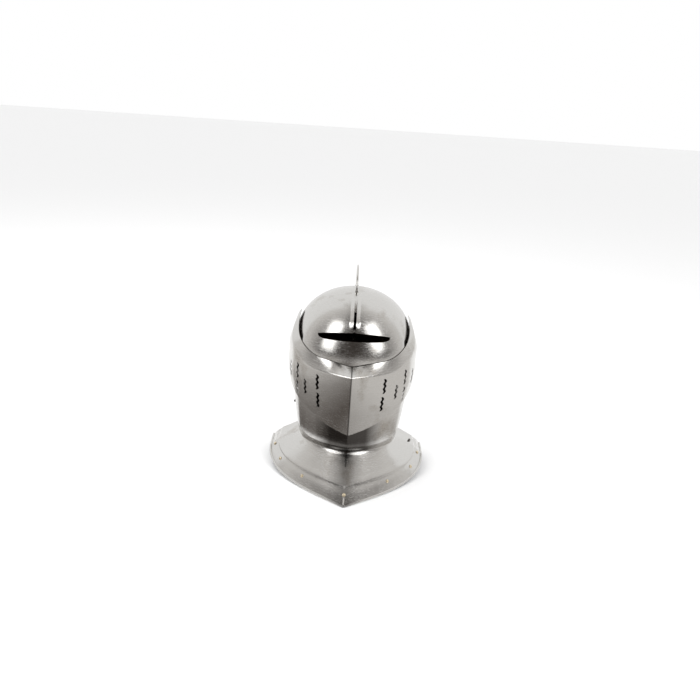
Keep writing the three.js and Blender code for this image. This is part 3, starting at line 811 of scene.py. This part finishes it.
# Studs, two darkened steel pins. The longer one latches the cheek, and the short one sits by the seam of
# the gorget.
def stud_steel():
    finish = bpy.data.materials.new("stud_steel")
    finish.use_nodes = True
    tree = finish.node_tree
    link = tree.links.new
    base = tree.nodes["Principled BSDF"]
    base.inputs["Metallic"].default_value = 1.0
    where = tree.nodes.new("ShaderNodeTexCoord")
    cloud = node(tree, "ShaderNodeTexNoise", Scale=520.0, Detail=6.0, Roughness=0.6)
    link(where.outputs["Object"], cloud.inputs["Vector"])
    tone = node(tree, "ShaderNodeMix", data_type="RGBA")
    tone.inputs[6].default_value = (0.10, 0.09, 0.085, 1)
    tone.inputs[7].default_value = (0.30, 0.28, 0.26, 1)
    link(cloud.outputs["Fac"], tone.inputs["Factor"])
    link(tone.outputs[2], base.inputs["Base Color"])
    dull = node(tree, "ShaderNodeMapRange", To_Min=0.25, To_Max=0.55)
    link(cloud.outputs["Fac"], dull.inputs["Value"])
    link(dull.outputs["Result"], base.inputs["Roughness"])
    return finish


stud_radius = 0.0024
dark = stud_steel()
seam_point = gorget_front_point(1.13, 0.55, 0.48)
seam_out = outward(gorget_front_point, 1.13, 0.55, 0.48)
for cad_node, base_point, out, length, lift in (
        ("latch_stud", bevor_point(-1.2, -0.1065), Vector((-1, 0, 0)), 0.006, 0.0001),
        ("seam_stud", seam_point, seam_out, 0.003, 0.0002)):
    pin = [(0, 0), (stud_radius * 0.8, 0), (stud_radius * 0.8, length * 0.6)]
    pin += [(stud_radius * cos(pi / 2 * k / 8), length * (0.6 + 0.4 * sin(pi / 2 * k / 8))) for k in range(8)]
    pin += [(0, length)]
    stud = turned_object(cad_node + "_pin", pin, base_point + out * lift, out, 28)
    stud.data.materials.append(dark)
    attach(stud, "bevor")
    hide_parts(cad_node)


# Studio, a white floor under two tall soft lights and one overhead. Dark cards over the camera and on the
# floor are seen only by the steel, which mirrors them.
def stage_plane(name, size_x, size_y, colour, matrix):
    shape = bmesh.new()
    bmesh.ops.create_grid(shape, x_segments=1, y_segments=1, size=0.5)
    bmesh.ops.scale(shape, vec=(size_x, size_y, 1), verts=shape.verts)
    mesh = bpy.data.meshes.new(name)
    shape.to_mesh(mesh)
    shape.free()
    made = bpy.data.objects.new(name, mesh)
    bpy.context.scene.collection.objects.link(made)
    made.matrix_world = matrix
    paint = bpy.data.materials.new(name + "_paint")
    paint.use_nodes = True
    base = paint.node_tree.nodes["Principled BSDF"]
    base.inputs["Base Color"].default_value = colour
    base.inputs["Roughness"].default_value = 0.9
    base.inputs["Specular IOR Level"].default_value = 0.1
    mesh.materials.append(paint)
    return made


floor = stage_plane("floor", 80, 80, (0.90, 0.90, 0.90, 1), Matrix.Identity(4))


def dome_place(u, v):
    around, above = radians(mix(-100, 100, u)), radians(mix(-1, 104, v))
    reach = 3.4
    return Vector((reach * cos(above) * sin(around), -reach * cos(above) * cos(around),
                   0.1 + reach * sin(above)))


def apron_place(u, v):
    around, reach = radians(mix(-118, 118, u)), mix(0.18, 3.0, v * v)
    return Vector((reach * sin(around), -reach * cos(around), 0.003))


def mirror_card(name, place, axis, near_tone, far_tone, middle, span):
    """Card that only the polished steel sees, glowing softly from one tone at the middle to another."""
    made = grid_object(name, 48, 32, place)
    paint = bpy.data.materials.new(name + "_paint")
    paint.use_nodes = True
    tree = paint.node_tree
    tree.nodes.remove(tree.nodes["Principled BSDF"])
    where = tree.nodes.new("ShaderNodeTexCoord")
    split = tree.nodes.new("ShaderNodeSeparateXYZ")
    tree.links.new(where.outputs["Object"], split.inputs["Vector"])
    offset = node(tree, "ShaderNodeMath", operation="ADD")
    offset.inputs[1].default_value = -middle
    tree.links.new(split.outputs[axis], offset.inputs[0])
    away = node(tree, "ShaderNodeMath", operation="ABSOLUTE")
    tree.links.new(offset.outputs["Value"], away.inputs[0])
    share = node(tree, "ShaderNodeMapRange", From_Min=0.0, From_Max=span)
    tree.links.new(away.outputs["Value"], share.inputs["Value"])
    tone = node(tree, "ShaderNodeMix", data_type="RGBA")
    tone.inputs[6].default_value = near_tone
    tone.inputs[7].default_value = far_tone
    tree.links.new(share.outputs["Result"], tone.inputs["Factor"])
    glow = tree.nodes.new("ShaderNodeEmission")
    tree.links.new(tone.outputs[2], glow.inputs["Color"])
    tree.links.new(glow.outputs["Emission"], tree.nodes["Material Output"].inputs["Surface"])
    made.data.materials.append(paint)
    made.data.shade_smooth()
    made.visible_camera = False
    made.visible_diffuse = False
    made.visible_shadow = False
    return made


def strip_place(u, v):
    around, above = radians(mix(-11, 11, u)), radians(mix(46, 92, v))
    return Vector((1.9 * cos(above) * sin(around) + mix(-0.14, 0.14, u), -1.9 * cos(above) * cos(around),
                   0.1 + 1.9 * sin(above)))


mirror_card("dark_strip", strip_place, "X", (0.02, 0.017, 0.015, 1), (0.12, 0.11, 0.10, 1), 0.0, 0.3)
mirror_card("dark_dome", dome_place, "Y", (0.80, 0.78, 0.76, 1), (0.040, 0.032, 0.027, 1), 0.1, 2.2)
mirror_card("floor_apron", apron_place, "X", (0.10, 0.085, 0.075, 1), (0.76, 0.74, 0.72, 1), -0.17, 0.52)


def soft_light(name, place, aim, width, height, power):
    lamp = bpy.data.lights.new(name, "AREA")
    lamp.shape = "RECTANGLE"
    lamp.size, lamp.size_y = width, height
    lamp.energy = power
    made = bpy.data.objects.new(name, lamp)
    bpy.context.scene.collection.objects.link(made)
    made.location = place
    made.rotation_euler = (Vector(aim) - Vector(place)).to_track_quat("-Z", "Y").to_euler()
    return made


light_aim = (0, 0, 0.2)
soft_light("window_left", (-1.30, -1.40, 1.45), light_aim, 0.80, 2.0, 15)
soft_light("window_right", (1.30, -1.40, 1.45), light_aim, 0.80, 2.0, 15)
overhead = soft_light("overhead", (-0.9, 0.9, 2.2), light_aim, 1.2, 1.2, 12)
overhead.visible_glossy = False

world = bpy.data.worlds.new("studio")
world.use_nodes = True
world.node_tree.nodes["Background"].inputs["Color"].default_value = (1, 1, 1, 1)
world.node_tree.nodes["Background"].inputs["Strength"].default_value = 1.0
bpy.context.scene.world = world
bpy.context.scene.view_settings.view_transform = "Standard"

pitch, yaw, roll = 0.32017, 0.00593, 0.06629
forward = Vector((sin(yaw) * cos(pitch), cos(yaw) * cos(pitch), -sin(pitch)))
level = Vector((cos(yaw), -sin(yaw), 0))
upright = level.cross(forward)
right = level * cos(roll) + upright * sin(roll)
up = upright * cos(roll) - level * sin(roll)
lens = bpy.data.cameras.new("camera")
lens.sensor_width = 36
lens.lens = 36.14
lens.clip_start = 0.05
camera = bpy.data.objects.new("camera", lens)
bpy.context.scene.collection.objects.link(camera)
camera.matrix_world = Matrix.Translation((-0.0116, -1.1583, 0.5978)) @ Matrix(
    (right, up, -forward)).transposed().to_4x4()
bpy.context.scene.camera = camera
